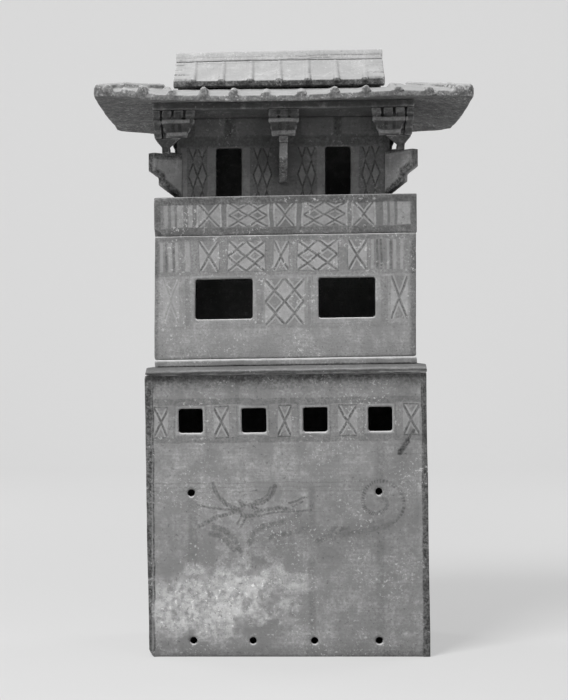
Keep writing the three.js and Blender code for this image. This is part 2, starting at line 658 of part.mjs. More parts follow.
function ridgeRoof() {
  const group = new THREE.Group();
  group.position.set(RIDGE_ROOF_SHIFT, 0, SEAT_TOP + BED + GABLE_DROP);
  upper.add(group);
  const half = RIDGE_ROOF_DEPTH / 2;
  const flat = RIDGE_BEAM_WIDTH / 2;
  const rise = RIDGE_ROOF_RISE - RIDGE_EAVE_THICK;
  const slope = [[half, 0], [half, RIDGE_EAVE_THICK], [flat, RIDGE_ROOF_RISE]];
  const section = [
    ...slope,
    ...slope.map(([y, z]) => [-y, z]).reverse(),
    [RIDGE_SHELL - half, 0],
    [0, RIDGE_ROOF_RISE - RIDGE_SHELL],
    [half - RIDGE_SHELL, 0],
  ];
  const shell = drawnAlongX(section, RIDGE_ROOF_WIDTH);
  const foot = half - RIDGE_SHELL;
  const gable = [
    [foot, -GABLE_DROP],
    [foot, RIDGE_EAVE_THICK],
    [0, RIDGE_ROOF_RISE - RIDGE_SHELL / 2],
    [-foot, RIDGE_EAVE_THICK],
    [-foot, -GABLE_DROP],
  ];
  const gables = [-1, 1].map((end) =>
    drawnAlongX(gable, GABLE_THICK).translate(end * (RIDGE_ROOF_WIDTH / 2 - GABLE_INSET), 0, 0));

  const places = spread(RIDGE_ROOF_WIDTH - 2 * VERGE_WIDTH, RIDGE_TILE_PITCH);
  const outermost = places[places.length - 1];
  const run = half - flat;
  const surface = (share) => [half - share * run, RIDGE_EAVE_THICK + share * rise];
  const courses = Math.floor(Math.hypot(run, rise) / VERGE_TILE_PITCH);
  const rolls = [];
  for (const side of [-1, 1]) {
    const [footY, footZ] = surface(-TILE_PROUD / run);
    const [headY, headZ] = surface(0.97);
    for (const x of places) {
      const foot = new THREE.Vector3(x, side * footY, footZ);
      const head = new THREE.Vector3(x, side * headY, headZ - RIDGE_ROLL_FALL);
      rolls.push(tileRoll(foot, head, RIDGE_ROLL_WIDTH, RIDGE_ROLL_HEIGHT));
    }
    const normal = new THREE.Vector3(0, side * rise, run).normalize();
    for (let k = 0; k < courses; k++) {
      const [y, z] = surface((k + 0.5) / courses);
      for (const end of [-1, 1]) {
        const root = new THREE.Vector3(end * outermost, side * y, z);
        const tip = new THREE.Vector3((end * RIDGE_ROOF_WIDTH) / 2, side * y, z);
        rolls.push(tileRoll(root, tip, VERGE_TILE_WIDTH, VERGE_TILE_HEIGHT, normal));
      }
    }
  }
  const seat = block(
    RIDGE_ROOF_WIDTH + 2, RIDGE_BEAM_WIDTH + 2 * JOINT, RIDGE_BEAM_HEIGHT, 0, 0, RIDGE_ROOF_RISE);
  const roof = cutAway(unite(shell, [...gables, ...rolls]), [seat]);
  addPiece("ridge_roof", roof, MATERIALS.tile, group);

  const w = RIDGE_BEAM_WIDTH / 2;
  const h = RIDGE_BEAM_HEIGHT;
  const grooves = [0.36, 0.72].flatMap((share) =>
    [[w, (share - 0.06) * h], [w - RIDGE_BEAM_GROOVE, share * h], [w, (share + 0.06) * h]]);
  const edge = [[w, 0], ...grooves, [w - 1.5, h]];
  const beam = drawnAlongX([...edge, ...edge.map(([y, z]) => [-y, z]).reverse()], RIDGE_ROOF_WIDTH);
  addPiece("ridge_beam", beam, MATERIALS.tile, group).position.z = RIDGE_ROOF_RISE + JOINT;
}

lowerStorey();
middleStorey();
balcony();
room();
cornerSet("front_left", -1, -1);
cornerSet("front_right", 1, -1);
cornerSet("back_left", -1, 1);
cornerSet("back_right", 1, 1);
centreSet();
eaveFrame();
mainRoof();
ridgeRoof();

export default tower;
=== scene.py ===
# %% [markdown]
# # A pottery watchtower
#
# The tower is a stack of slab-built, unglazed earthenware boxes under two tiled roofs. It was washed
# with pale slip and painted with thin dark line, and most of that has worn off. The solid shapes come
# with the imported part. This lesson gives them the unevenness of hand-built clay, lays on the slip, the
# paint and the wear, and sets up the camera and the studio. Blender works in metres here, with +Z up
# and the front facing -Y. Sizes on the object are written in millimetres.

# %% Start
import json
import math

import bpy
import numpy as np
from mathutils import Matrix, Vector


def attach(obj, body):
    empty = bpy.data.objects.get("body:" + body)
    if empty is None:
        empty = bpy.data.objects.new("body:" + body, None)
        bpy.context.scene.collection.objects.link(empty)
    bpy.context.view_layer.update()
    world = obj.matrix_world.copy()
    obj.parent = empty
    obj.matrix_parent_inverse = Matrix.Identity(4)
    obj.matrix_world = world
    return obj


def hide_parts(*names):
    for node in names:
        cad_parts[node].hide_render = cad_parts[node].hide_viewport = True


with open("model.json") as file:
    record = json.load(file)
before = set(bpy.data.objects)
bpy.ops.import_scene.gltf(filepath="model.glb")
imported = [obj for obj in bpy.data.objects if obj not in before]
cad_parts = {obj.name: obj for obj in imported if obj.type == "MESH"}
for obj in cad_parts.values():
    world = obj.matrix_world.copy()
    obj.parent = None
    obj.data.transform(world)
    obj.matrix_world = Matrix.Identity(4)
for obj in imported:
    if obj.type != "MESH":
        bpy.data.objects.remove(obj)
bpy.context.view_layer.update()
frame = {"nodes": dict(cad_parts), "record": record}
MM = 0.001
BODY_OF = {name: body for body, names in frame["record"]["behaviour"]["bodies"].items() for name in names}
print("nodes:", len(frame["nodes"]), "bodies:", sorted(set(BODY_OF.values())))

# %% [markdown]
# ## Noise that is the same on each run
#
# Clay that was rolled, cut and fired by hand is nowhere quite flat. Blender's noise textures could
# push the surfaces about, but several pieces have to move together where they touch. So the noise is
# made here from a fixed lattice of numbers: the same place always gets the same value.

# %% Lattice noise
LATTICE = 1024
lattice_values = np.random.default_rng(7).uniform(-1, 1, LATTICE)
lattice_steps = np.random.default_rng(8).integers(0, LATTICE, (3, LATTICE))


def lattice_noise(points, bump, seed):
    """Smooth noise from -1 to 1 at points in mm, with bumps about that many mm wide."""
    cells = points / bump + seed * 37.3
    corner = np.floor(cells).astype(np.int32)
    share = cells - corner
    share = share * share * (3 - 2 * share)
    ends = []
    for axis in range(3):
        low = lattice_steps[axis][corner[:, axis] % LATTICE]
        high = lattice_steps[axis][(corner[:, axis] + 1) % LATTICE]
        ends.append(((low, 1 - share[:, axis]), (high, share[:, axis])))
    total = 0
    for x_step, x_share in ends[0]:
        for y_step, y_share in ends[1]:
            for z_step, z_share in ends[2]:
                value = lattice_values[(x_step + y_step + z_step) % LATTICE]
                total = total + value * (x_share * y_share * z_share)
    return total


sample = lattice_noise(np.random.default_rng(1).uniform(0, 400, (1000, 3)), 20, 1)
print("noise spread:", round(float(sample.std()), 3))

# %% [markdown]
# ## How the real tower is out of true
#
# The lower box leans and is a little wide at its left edge. Each storey sits slightly to the left of
# the one below, and the level lines climb towards the right by up to 3 mm. The joint over the plinth
# sags, and the eave is wavy. One function moves every point of every piece. It depends only on the
# place, so neighbours keep their gaps.

# %% Handmade warp
EAVE_LEVEL = 800
ROOF_HALF_WIDTH = 278
ROOF_HALF_DEPTH = 191
ROOF_CENTRE_X = -3
RIM_X = [-279, -231, -200, -150, -100, -50, 17, 61, 120, 156, 190, 222, 251, 279]
RIM_LIFT = [0, 0, -1.8, -1.5, -1.2, -0.4, 0, 1.9, 3.9, 5.5, 4.0, 2.3, 0, 0]
LEAN_Z, LEAN = [0, 437, 460], [4.2, -2.6, -4.0]
TILT = 3.0  # how far the level lines have climbed at TILT_REACH to the right
TILT_REACH = 195
TILT_Z, TILT_LIFT = [0, 425, 440], [0, 2.2, TILT]
PLINTH_JOINT_Z, PLINTH_JOINT_SAG = [437.5, 449, 453, 480], [0, -4.2, -4.2, 0]
LEFT_EDGE_SWELL = 2.6


def inset(x, y):
    """How far a place lies in from the eave."""
    return np.minimum(ROOF_HALF_WIDTH - np.abs(x - ROOF_CENTRE_X), ROOF_HALF_DEPTH - np.abs(y))


def handmade(points):
    """Moves points in mm from where they were drawn to where the potter's hand left them."""
    x, y, z = points.T
    lean = np.interp(z, LEAN_Z, LEAN)
    at_eave = np.clip((z - EAVE_LEVEL) / 25, 0, 1)
    rim = np.clip(1 - inset(x, y) / 85, 0, 1) * at_eave
    tilt = np.interp(z, TILT_Z, TILT_LIFT) * x / TILT_REACH
    lift = rim * np.interp(x, RIM_X, RIM_LIFT) + (1 - rim) * (tilt + 1.5 * at_eave)
    lift += 0.01 * np.clip(z - 862, 0, None) * np.clip(x / 150, -1, 1)
    lift += np.interp(z, PLINTH_JOINT_Z, PLINTH_JOINT_SAG)
    wander = [0.7 * lattice_noise(points, 95, seed) + 0.22 * lattice_noise(points, 17, seed + 3)
              for seed in (11, 12, 13)]
    settled = np.clip(z / 30, 0, 1)
    swell = LEFT_EDGE_SWELL * np.clip((-160 - x) / 45, 0, 1) * np.clip((430 - z) / 10, 0, 1)
    moved = [x + lean - swell + wander[0], y + wander[1], z + lift + wander[2] * settled]
    return np.stack(moved, axis=1)


print("corner of the lower box moves to", handmade(np.array([[210.0, -125.0, 0.0]])).round(1))

# %% [markdown]
# ## Soft copies of the hard solids
#
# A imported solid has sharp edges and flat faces. A real slab has round, chipped edges. The four slabs
# round a storey were luted with wet clay, and the joints were wiped flush, so they are joined here.
# The joined mesh is cut into small even faces and relaxed, which rounds its edges. Then its edges are
# bitten by noise, it is warped, and faces that are not needed are dropped. The copy replaces its nodes
# and rides on the same body.

# %% Softening
def vertex_rows(mesh, kind):
    """The places ("co", in metres) or the normals ("normal") of a mesh's vertices, a row each."""
    flat = np.empty(len(mesh.vertices) * 3, np.float32)
    mesh.vertices.foreach_get(kind, flat)
    return flat.reshape(-1, 3).astype(float)


def joined(names):
    """One mesh of several nodes."""
    points, faces = [], []
    for name in names:
        mesh = frame["nodes"][name].data
        faces += [[len(points) + i for i in polygon.vertices] for polygon in mesh.polygons]
        points += [tuple(vertex.co) for vertex in mesh.vertices]
    made = bpy.data.meshes.new(names[0])
    made.from_pydata(points, [], faces)
    return made


def settle(piece, *modifiers):
    """Applies modifiers, given as (kind, settings), and keeps the mesh that they make."""
    for kind, settings in modifiers:
        added = piece.modifiers.new(kind, kind)
        for key, value in settings.items():
            setattr(added, key, value)
    piece.data = bpy.data.meshes.new_from_object(piece.evaluated_get(bpy.context.evaluated_depsgraph_get()))
    piece.modifiers.clear()


def broken_off(points, place, outward, rough=0.8):
    """Breaks off what lies beyond a rough plane through a place."""
    outward = np.array(outward) / np.linalg.norm(outward)
    beyond = (points - place) @ outward + rough * lattice_noise(points, 5, 21)
    return points - np.clip(beyond, 0, None)[:, None] * outward


def soften(name, nodes, face, relax, chip, keep, extra):
    """A soft copy of nodes, remeshed to faces about `face` mm wide, of which it keeps a share.

    Edges are bitten up to `chip` mm deep, and `extra` is the piece's own shaping, or None.
    """
    piece = bpy.data.objects.new(name + "_clay", joined(nodes))
    bpy.context.scene.collection.objects.link(piece)
    settle(piece, ("REMESH", {"mode": "VOXEL", "voxel_size": face * MM}),
           ("SMOOTH", {"factor": 0.5, "iterations": relax}))
    made = piece.data
    points, normals = vertex_rows(made, "co") / MM, vertex_rows(made, "normal")
    edge = np.clip(4 * (1 - np.abs(normals).max(axis=1)), 0, 1)
    bite = np.clip(1.7 * lattice_noise(points, 16, 5) + 0.8 * lattice_noise(points, 6, 6) - 0.75, 0, 1)
    points = points - normals * (edge * bite * chip)[:, None]
    if extra is not None:
        points = extra(points, normals)
    made.vertices.foreach_set("co", (handmade(points) * MM).astype(np.float32).ravel())
    made.update()
    settle(piece, ("DECIMATE", {"ratio": keep}))
    piece.data.polygons.foreach_set("use_smooth", [True] * len(piece.data.polygons))
    return piece


print("softening ready")

# %% [markdown]
# ## Colours and shader nodes
#
# Colours are written as sRGB hex, as they are read off a screen, and one function turns them into the
# linear values that the renderer needs. One function adds a shader node: it sets the node's own
# properties from keywords and links or fills its inputs.

# %% Colour and node helpers
def linear(hex_text):
    channels = [int(hex_text[i:i + 2], 16) / 255 for i in (0, 2, 4)]
    return [c / 12.92 if c <= 0.04045 else ((c + 0.055) / 1.055) ** 2.4 for c in channels] + [1.0]


def put(tree, kind, *inputs, output=0, **settings):
    made = tree.nodes.new("ShaderNode" + kind)
    for key, value in settings.items():
        if not key.startswith("in_"):
            setattr(made, key, value)
    filled = list(zip(made.inputs, inputs))
    filled += [(made.inputs[key[3:].replace("_", " ")], value)
               for key, value in settings.items() if key.startswith("in_")]
    for socket, value in filled:
        value = value.socket if isinstance(value, Wire) else value
        if isinstance(value, bpy.types.NodeSocket):
            tree.links.new(value, socket)
        elif value is not None:
            socket.default_value = value
    return made.outputs[output] if made.outputs else None


class Wire:
    """A number that flows through the shader. Arithmetic on it adds math nodes."""

    def __init__(self, tree, socket):
        self.tree, self.socket = tree, socket

    def math(self, operation, *others, **settings):
        return Wire(self.tree, put(self.tree, "Math", self, *others, operation=operation, **settings))

    def __add__(self, other): return self.math("ADD", other)
    def __sub__(self, other): return self.math("SUBTRACT", other)
    def __mul__(self, other): return self.math("MULTIPLY", other)
    def __rsub__(self, other): return self.math("MULTIPLY_ADD", -1, other)
    def __abs__(self): return self.math("ABSOLUTE")
    __radd__, __rmul__ = __add__, __mul__

    def clamped(self): return self.math("MINIMUM", 1).math("MAXIMUM", 0)

    def ramp(self, first, last, at_first, at_last):
        """Runs smoothly from one value at `first` to another at `last`, and stays level outside.

        The smooth kind needs no clamp. A clamp is worked out after all other nodes, and a long shader
        that holds many of them grows too big for the renderer.
        """
        return Wire(self.tree, put(self.tree, "MapRange", self, first, last, at_first, at_last,
                                   interpolation_type="SMOOTHSTEP", clamp=False))


def within(value, low, high, soft=1.2, amount=1.0):
    """The amount where value lies between low and high, with edges softened over that width."""
    half = (high - low) / 2
    return abs(value - (low + high) / 2).ramp(half - soft / 2, half + soft / 2, amount, 0)


def lay(tree, under, over, amount):
    """Lays one colour over what is under it, by the amount wire."""
    mixed = put(tree, "Mix", in_Factor=amount, data_type="RGBA", output=2)
    tree.links.new(under, mixed.node.inputs[6])
    mixed.node.inputs[7].default_value = linear(over)
    return mixed


print("helpers ready")

# %% [markdown]
# ## Paints and panels
#
# Three tones are enough: a dark ink for lines, a middle grey wash, and the pale slip. The painter
# divided each wall into bands and each band into panels. A panel holds crossed diagonals: one crossing
# makes a bow-tie, and two by two make a net of lozenges. The triangles above and below a crossing were
# filled darker than those at its sides. Each tone keeps one amount, the strongest that was laid.

# %% Paints and crossed panels
DARK, MID, PALE = "2c2c2c", "5a5a5a", "bcbcbc"
TONES = (MID, PALE, DARK)  # in the order in which they are laid


class Paints:
    """How much of each tone lies on a wall, as wires of the wall's x and z in mm."""

    def __init__(self, x, z):
        self.x, self.z, self.amounts = x, z, {}

    def add(self, tint, amount):
        kept = self.amounts.get(tint)
        self.amounts[tint] = amount if kept is None else kept.math("MAXIMUM", amount)

    def bars(self, tint, amount, spans, foot, head, soft=1.8):
        """Straight bars of one tone, that share their foot and head."""
        level = within(self.z, foot, head, soft, amount)
        marks = [within(self.x, left, right, soft) for left, right in spans]
        for mark in marks[1:]:
            marks[0] = marks[0] + mark
        self.add(tint, level * marks[0])

    def band(self, tint, amount, foot, head, soft=1.8):
        self.add(tint, within(self.z, foot, head, soft, amount))

    def border(self, tint, amount, left, right, foot, head, wide):
        """A border that runs round an opening or a panel."""
        outer = within(self.x, left - wide, right + wide) * within(self.z, foot - wide, head + wide)
        inner = within(self.x, left, right) * within(self.z, foot, head)
        self.add(tint, (outer - inner) * amount)

    def crossed(self, left, right, foot, head, across=1, up=1, line=2.2, ink=0.5, fill=0.35, ground=0.3):
        """One panel of crossings: its pale ground, its dark triangles and its ink lines."""
        inside = within(self.x, left, right) * within(self.z, foot, head)
        wide, tall = (right - left) / across, (head - foot) / up
        u = self.x.math("MULTIPLY_ADD", 1 / wide, -left / wide).math("PINGPONG", 0.5)
        v = self.z.math("MULTIPLY_ADD", 1 / tall, -foot / tall).math("PINGPONG", 0.5)
        gap = u - v  # above 0 in the triangles over and under a crossing
        slant = wide * tall / math.hypot(wide, tall)
        self.add(PALE, inside * gap.ramp(-0.8 / slant, 0.8 / slant, ground, 0))
        self.add(MID, inside * gap.ramp(-0.8 / slant, 0.8 / slant, 0, fill))
        half = line / 2
        beside = within(abs(gap), half / slant, (half + 2.6) / slant, 1.2 / slant, ground + 0.06)
        self.add(PALE, inside * beside)
        self.add(DARK, inside * abs(gap).ramp((half - 0.7) / slant, (half + 0.7) / slant, ink, 0))


print("paints ready")

# %% [markdown]
# ## From the photograph's frame to a face
#
# The bands were measured in the photograph's frame of 568 by 700. The camera stands level, so a face
# that lies a known distance behind the lens turns those measures into millimetres by one scale.

# %% Measures on a face
CAMERA_X, CAMERA_Y, CAMERA_Z = -6, -2750, 460.5
FOCAL = 1750  # of the lens, in pixels of that frame


def on_face(depth):
    scale = (depth - CAMERA_Y) / FOCAL
    return (lambda px: (px - 284) * scale + CAMERA_X), (lambda py: (350 - py) * scale + CAMERA_Z)


LOWER_FACE, MIDDLE_FACE, PARAPET_FACE, ROOM_FACE = -123.8, -112, -113, -77
ARM_FACE, BRACKET_FACE, RIDGE_FACE = -125, -112, -40
print("mm to a pixel on the lower face:", round((LOWER_FACE - CAMERA_Y) / FOCAL, 3))

# %% [markdown]
# ## Brush strokes
#
# A stroke is a chain of straight dabs. Its ink is strongest on the line and fades out over the
# brush's half width. The distance to each dab is worked out, and the nearest one counts.

# %% Strokes
def strokes(x, z, chains, half_width, amount):
    """The amount on strokes through the chains of (x, z) points, fading to 0 at half_width mm."""
    nearest = None  # the squared distance to the nearest stroke
    for chain in chains:
        for (ax, az), (bx, bz) in zip(chain, chain[1:]):
            along, rise = bx - ax, bz - az
            square = along * along + rise * rise
            u, v = x - ax, z - az
            share = u.math("MULTIPLY_ADD", along / square, v * (rise / square)).clamped()
            gap_x = share.math("MULTIPLY_ADD", -along, u)
            gap_z = share.math("MULTIPLY_ADD", -rise, v)
            gap = gap_x.math("MULTIPLY_ADD", gap_x, gap_z * gap_z)
            nearest = gap if nearest is None else nearest.math("MINIMUM", gap)
    return nearest.ramp(half_width ** 2 * 0.08, half_width ** 2, amount, 0)


def spiral(x, z, centre, outer, inner, pitch, half_width, amount):
    """The amount on a spiral that winds in anticlockwise by `pitch` mm a turn."""
    u, v = x - centre[0], z - centre[1]
    radius = (u * u + v * v).math("SQRT")
    turn = radius.math("MULTIPLY_ADD", -1 / pitch, outer / pitch) - v.math("ARCTAN2", u) * (1 / math.tau)
    gap = turn.math("PINGPONG", 0.5) * pitch
    return gap.ramp(half_width * 0.25, half_width, amount, 0) * within(radius, inner, outer + 3, 3)


def spans(across, *pairs):
    """Pairs of left and right spots of the photograph's frame, in mm on a face."""
    return [(across(left), across(right)) for left, right in pairs]


def in_group(tree, name, place, build, outputs):
    """Builds part of a shader in a node group of its own, which keeps a long shader quick to make."""
    inner = bpy.data.node_groups.new(name, "ShaderNodeTree")
    inner.interface.new_socket("place", in_out="INPUT", socket_type="NodeSocketVector")
    for label in outputs:
        inner.interface.new_socket(label, in_out="OUTPUT", socket_type="NodeSocketFloat")
    start, end = inner.nodes.new("NodeGroupInput"), inner.nodes.new("NodeGroupOutput")
    parts = put(inner, "SeparateXYZ", start.outputs[0]).node
    for label, wire in zip(outputs, build(*(Wire(inner, parts.outputs[i]) for i in range(3)))):
        inner.links.new(wire.socket, end.inputs[label])
    group = tree.nodes.new("ShaderNodeGroup")
    group.node_tree = inner
    tree.links.new(place, group.inputs[0])
    return [Wire(tree, group.outputs[label]) for label in outputs]


print("strokes ready")

# %% [markdown]
# ## Slip-washed earthenware
#
# The boxes are grey earthenware, pressed or rolled into slabs, washed with thin pale slip and fired
# without glaze. The slip has worn into clouds and flecks, and the brush left faint level streaks. The
# surface is rough all over: it has a roughness above 0.9 and the usual IOR of 1.5. The grain of the
# clay is laid under the paint, so that it doesn't wash the paint out, and the paint is thinned where
# the wall is rubbed. Each noise is scaled by the real size of what it draws.

# %% Clay recipe
FRESH_SLIP, DUST_AND_TOP_LIGHT = "e4e4e4", "dcdcdc"
CLAY_ROUGHNESS = 0.93


def per_mm(size):
    """The scale of a noise texture whose features are that many mm wide."""
    return 1 / (size * MM)


def painted(paint):
    """Makes a builder for a node group that gives the amount of each tone at a place in mm."""
    def build(x, y, z):
        z = z - x * z.ramp(0, TILT_Z[-1], 0, TILT / TILT_REACH)  # the bands tilt with the storeys
        paints = Paints(x, z)
        paint(paints, x, y, z)
        nothing = x * 0
        return [paints.amounts.get(tint, nothing) for tint in TONES]
    return build


def earthenware(name, body, stain, slip, slip_amount, dust_and_top_light, paint=None, pale_where=None,
                edge_wear=0.45, painted_nook_shade=0.5):
    """One finish: a body colour with stain and slip on it, paint, worn edges, painted shade in nooks, and a
    pale layer on faces that turn up, which is dust and a painted highlight.
    """
    material = bpy.data.materials.new(name)
    material.use_nodes = True
    tree = material.node_tree
    tree.nodes.clear()
    place = put(tree, "TexCoord", output=3)

    def noise(size, detail, low, high, stretch=None):
        where = place
        if stretch:
            where = put(tree, "VectorMath", place, stretch, operation="MULTIPLY")
        raw = put(tree, "TexNoise", in_Vector=where, in_Scale=per_mm(size), in_Detail=detail,
                  in_Roughness=0.65)
        return Wire(tree, raw).ramp(low, high, 0.0, 1.0)

    clouds = noise(130, 4, 0.38, 0.62)
    blotches = noise(34, 6, 0.4, 0.6)
    smudges = noise(12, 5, 0.38, 0.62)
    scars = noise(48, 3, 0.46, 0.62)
    flecks = noise(4.4, 4, 0.56, 0.66) * scars
    grain = noise(3.4, 4, 0.36, 0.64)
    brushed = noise(7, 4, 0.36, 0.64, stretch=(0.09, 1, 1.5))
    wiped = noise(11, 4, 0.36, 0.64, stretch=(1.4, 1, 0.12))
    pits = noise(3.6, 3, 0.60, 0.70) * (1 - scars)

    hand = put(tree, "TexNoise", in_Vector=place, in_Scale=per_mm(38), in_Detail=2.0, output=1)
    wobble = put(tree, "VectorMath", hand, (0.5, 0.5, 0.5), operation="SUBTRACT")
    wobble = put(tree, "VectorMath", wobble, operation="SCALE", in_Scale=6.0)
    drawn = put(tree, "VectorMath", place, operation="SCALE", in_Scale=1 / MM)
    drawn = put(tree, "VectorMath", drawn, wobble, operation="ADD")

    colour = put(tree, "Mix", in_Factor=clouds * 0.5 + blotches * 0.5, data_type="RGBA", output=2)
    colour.node.inputs[6].default_value = linear(stain)
    colour.node.inputs[7].default_value = linear(body)
    colour = lay(tree, colour, slip, blotches * wiped * (slip_amount * 0.5))
    colour = lay(tree, colour, stain, (1 - brushed) * 0.4)
    colour = lay(tree, colour, stain, smudges * 0.55)
    colour = lay(tree, colour, stain, (1 - grain) * 0.6)
    if paint is not None:
        wear = 1.25 - smudges * 0.4 - grain * 0.45 - flecks * 0.5
        amounts = in_group(tree, name + "_paint", drawn, painted(paint), TONES)
        for tint, amount in zip(TONES, amounts):
            colour = lay(tree, colour, tint, amount * wear)
    if pale_where is not None:
        [kept] = in_group(tree, name + "_slip", drawn, pale_where, ("kept",))
        kept = (kept * 1.3 + blotches * 0.6 - 0.6).clamped()
        mottle = noise(9, 6, 0.36, 0.62)
        patchy = mottle * 0.45 + (1 - smudges) * 0.3 + 0.1
        colour = lay(tree, colour, slip, kept * patchy)
        colour = lay(tree, colour, DARK, kept * noise(4.6, 3, 0.6, 0.7) * 0.5)
        colour = lay(tree, colour, FRESH_SLIP, kept * noise(5, 3, 0.6, 0.7) * 0.85)
    colour = lay(tree, colour, slip, flecks * slip_amount)
    colour = lay(tree, colour, DARK, pits * 0.45)
    geometry = put(tree, "NewGeometry").node
    rounded = Wire(tree, geometry.outputs["Pointiness"])
    colour = lay(tree, colour, slip, rounded.ramp(0.51, 0.57, 0, edge_wear) * (grain * 0.6 + 0.4))
    # Painted shade: the hollows that Pointiness finds are darkened.
    colour = lay(tree, colour, DARK, rounded.ramp(0.42, 0.485, painted_nook_shade, 0))
    facing = Wire(tree, put(tree, "SeparateXYZ", geometry.outputs["Normal"], output=2))
    # Faces that turn up are made paler: partly dust, partly a painted highlight where the lamps fall on sills
    # and tops.
    colour = lay(tree, colour, DUST_AND_TOP_LIGHT, facing.ramp(0.3, 0.9, 0, dust_and_top_light))

    height = (grain * 0.35 + flecks * 0.5 - pits * 0.7 + brushed * 0.3 + blotches * 0.4).socket
    bump = put(tree, "Bump", in_Height=height, in_Strength=0.6, in_Distance=0.9 * MM)
    shader = put(tree, "BsdfPrincipled", in_Base_Color=colour, in_Roughness=CLAY_ROUGHNESS,
                 in_Normal=bump)
    put(tree, "OutputMaterial", shader)
    return material


print("clay recipe ready")

# %% [markdown]
# ## Paint of the lower storey
#
# A band with five bow-ties runs between the windows, with darker lines above and below. Further down
# there is a faint beast: a horned head with long whiskers, an arched neck, and a tail that ends in a
# beaded spiral. Only traces of it are left.

# %% Lower wall paint
across, up = on_face(LOWER_FACE)


def chains(*lines):
    """Strokes given as (across, up) spots of the photograph's frame."""
    return [[(across(px), up(py)) for px, py in line] for line in lines]


BOLD = chains(
    ((213, 483), (215, 491), (220, 498), (226, 504), (235, 508), (241, 510)),
    ((275, 486), (273, 493), (268, 499), (262, 502), (249, 505)),
    ((239, 501), (243, 506), (240, 511), (245, 516), (254, 515), (258, 509), (250, 505)),
    ((236, 510), (228, 514), (219, 516), (209, 520), (199, 526)),
    ((258, 510), (270, 509), (280, 508), (292, 510)),
)
THIN = chains(
    ((236, 509), (225, 509), (213, 508), (197, 504)),
    ((242, 515), (237, 524)), ((246, 517), (241, 526)),
    ((258, 516), (270, 513), (292, 511), (311, 511)),
    ((289, 503), (297, 501), (304, 498)), ((293, 506), (302, 502)),
    ((271, 487), (268, 494), (262, 499), (255, 501)),
)
FADED = chains(
    ((214, 527), (224, 530), (232, 536), (238, 544), (241, 551)),
    ((211, 533), (220, 535), (228, 541), (234, 549)),
    ((249, 543), (254, 533), (264, 526), (277, 524), (289, 520), (299, 514)),
    ((270, 537), (284, 534), (297, 532), (307, 527)),
    ((317, 542), (333, 534), (350, 534), (368, 530), (384, 528), (394, 523)),
    ((326, 537), (335, 527)), ((333, 539), (343, 529)), ((341, 536), (348, 529)),
)
BODY = chains(((262, 545), (285, 530), (330, 545), (372, 534)))
GASH_TOP, GASH_FOOT = chains(((414, 432), (408, 442)), ((408, 443), (400, 454)))
EDGE_JOINTS = chains(((152.6, 377), (154.6, 655)), ((422.3, 377), (424.2, 655)))


def beast(paints, x, z):
    """The beast, in hairy strokes, and with it the gash's dark trace and the joints at the edges."""
    hairs = z.math("MULTIPLY_ADD", 0.5, x * 1.15).math("SINE").ramp(-0.9, 0.5, 0.66, 1)
    paints.add(DARK, strokes(x, z, BOLD, 4.2, 0.56) * hairs)
    for lines, half_width, amount in ((THIN, 2.2, 0.5), ([GASH_TOP], 3.0, 0.8), ([GASH_FOOT], 5.2, 0.85),
                                      (EDGE_JOINTS, 1.8, 0.75)):
        paints.add(DARK, strokes(x, z, lines, half_width, amount))
    paints.add(MID, strokes(x, z, FADED, 6, 0.7))
    paints.add(MID, strokes(x, z, BODY, 34, 0.3))
    centre = across(379), up(502.5)
    ticks = ((z - centre[1]).math("ARCTAN2", x - centre[0]) * 44).math("SINE").ramp(-0.7, 0.3, 0.3, 1)
    paints.add(DARK, spiral(x, z, centre, 37, 4, 26, 4.6, 0.55) * ticks)


def lower_paint(paints, x, y, z):
    paints.band(MID, 0.72, up(404), up(397.5), 2)
    paints.band(MID, 0.6, up(442), up(436), 2)
    paints.band(MID, 0.3, up(436), up(405), 3)
    foot, head = up(435.5), up(406.5)
    for left, right in ((154, 168), (214, 229), (277.5, 291.5), (338.5, 357.5), (403.5, 419.5)):
        left, right = across(left), across(right)
        paints.crossed(left, right, foot, head, line=3.4, ink=0.66, fill=0.42, ground=0.24)
        paints.bars(DARK, 0.5, [(left, right)], foot - 2.4, foot, 1.4)
        paints.bars(DARK, 0.5, [(left, right)], head, head + 2.4, 1.4)
    for px in (190.5, 253, 314.5, 380):
        middle = across(px)
        paints.border(PALE, 0.28, middle - 18, middle + 18, up(432), up(407.5), 3.2)
        paints.border(DARK, 0.26, middle - 23, middle + 23, up(435), up(405), 2)
    for py, amount in ((482.5, 0.4), (487, 0.3), (491, 0.3)):
        paints.band(MID, amount, up(py + 0.6), up(py - 0.6), 1.5)
    for left, right, top in ((376.5, 385, 440), (188, 197.5, 486), (309, 315, 486)):
        paints.bars(MID, 0.42, spans(across, (left, right)), up(650), up(top), 5)
    paints.bars(PALE, 0.08, spans(across, (360, 375)), up(478), up(443), 4)
    # Painted shadow under the top slab: dark close under it, with a softer painted shade that fades out lower
    # down.
    paints.add(DARK, z.ramp(up(394), up(376), 0, 0.72))
    paints.add(MID, z.ramp(up(420), up(385), 0, 0.36))
    paints.add(MID, z.ramp(up(640), up(656), 0, 0.6) + x.ramp(across(310), across(390), 0, 0.2))
    for edge in spans(across, (140, 152), (423, 436)):
        paints.bars(DARK, 0.85, [edge], -5, 450, 4)
    beast(paints, x, z)


def lower_slip(x, y, z):
    """Pale slip survives in the lower left part of the wall, and in a small patch low on the right."""
    low = (x - across(150)) * -0.14 + z  # the patch lies lower towards the left
    left = abs(x - across(190)).ramp(60, 225, 1, 0) * abs(low - up(609)).ramp(15, 85, 1, 0)
    right = abs(x - across(408)).ramp(0, 26, 0.8, 0) * abs(z - up(635)).ramp(0, 18, 0.8, 0)
    return [(left + right) * x.ramp(across(152), across(156), 0, 1)]


print("lower paint ready")

# %% [markdown]
# ## Paint of the middle storey
#
# The middle storey has a frieze of nets and bow-ties with upright stripes at its ends. Pale frames run
# round its windows, with a net between them and a tall bow-tie at each side.

